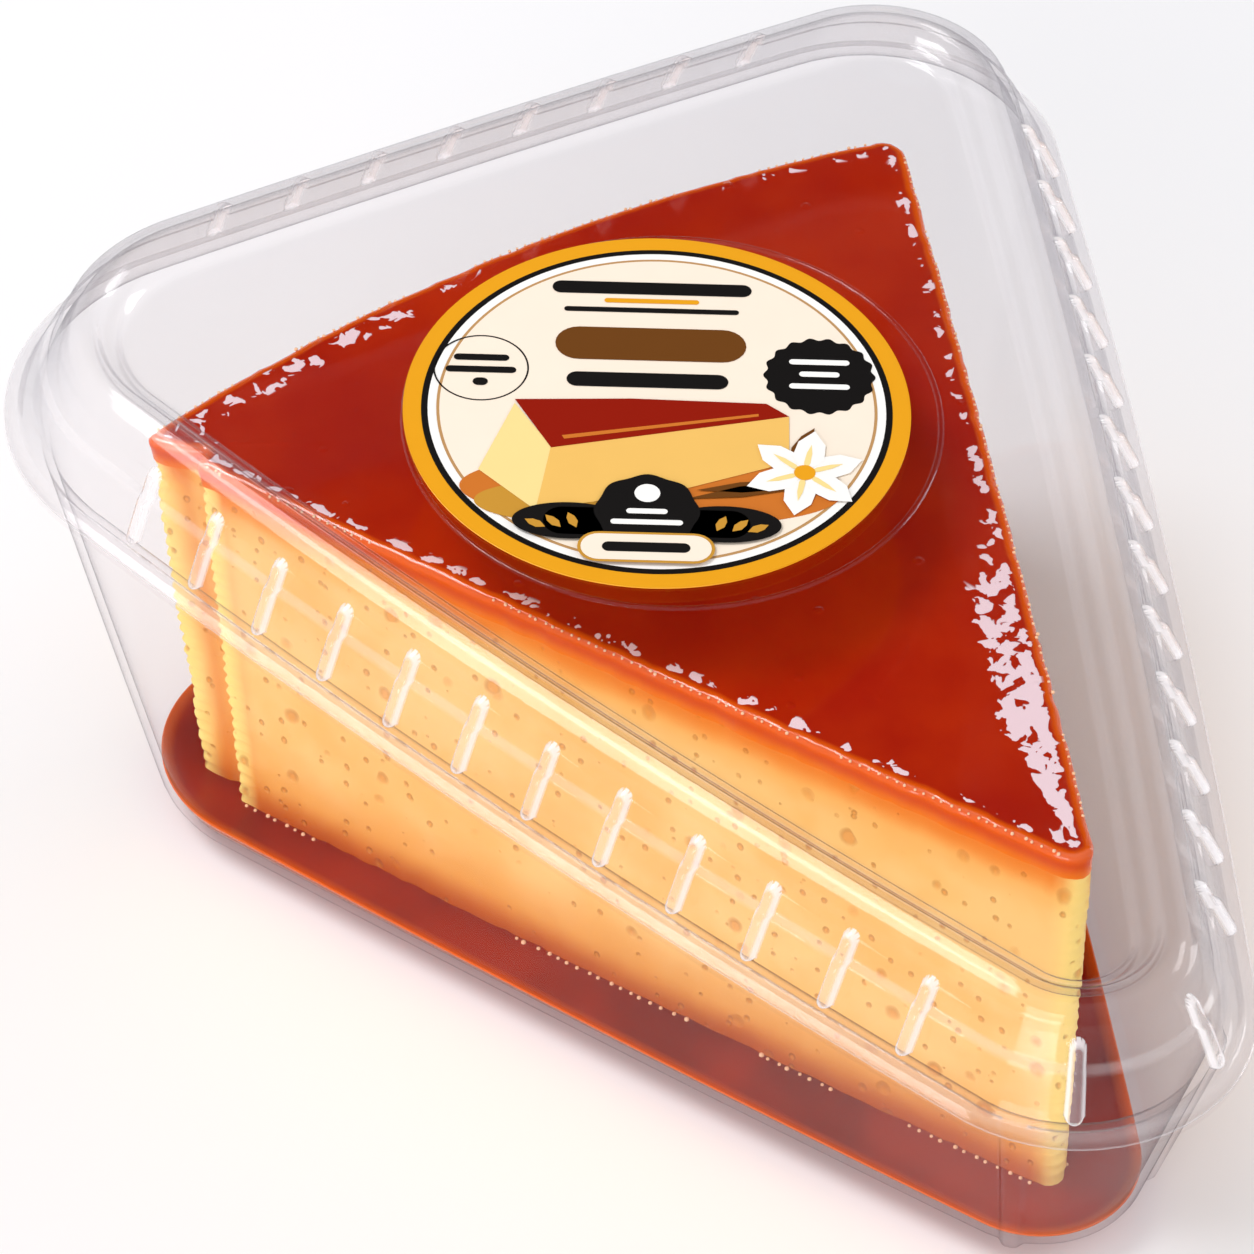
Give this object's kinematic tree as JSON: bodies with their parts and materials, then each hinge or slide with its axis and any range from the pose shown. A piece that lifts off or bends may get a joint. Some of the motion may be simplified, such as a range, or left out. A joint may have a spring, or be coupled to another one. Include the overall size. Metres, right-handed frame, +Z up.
{
  "type": "leche flan wedge in a clear lidded pack",
  "caption": "Wedge of caramel-topped leche flan standing in caramel sauce inside a clear triangular tub with a ribbed, sunken-panel lid and a round plain label.",
  "frame": {"origin": "on the ground plane, under the centre of the pack's overall length and width", "axes": "+Z up, -Y towards the tip of the wedge, +Y towards its wide back, +X to the right when seen from the tip"},
  "size_m": [0.1094, 0.1358, 0.0614],
  "materials": {
    "clear_plastic": "clear, glossy",
    "custard": "moist, satin",
    "caramel_layer": "glossy, translucent",
    "caramel_sauce": "glossy, wet",
    "label_paper": "satin paper"
  },
  "bodies": {
    "root": {"tub": "clear_plastic", "lid": "clear_plastic", "custard": "custard", "caramel_top": "caramel_layer", "caramel_pool": "caramel_sauce", "label": "label_paper"}
  },
  "joints": []
}
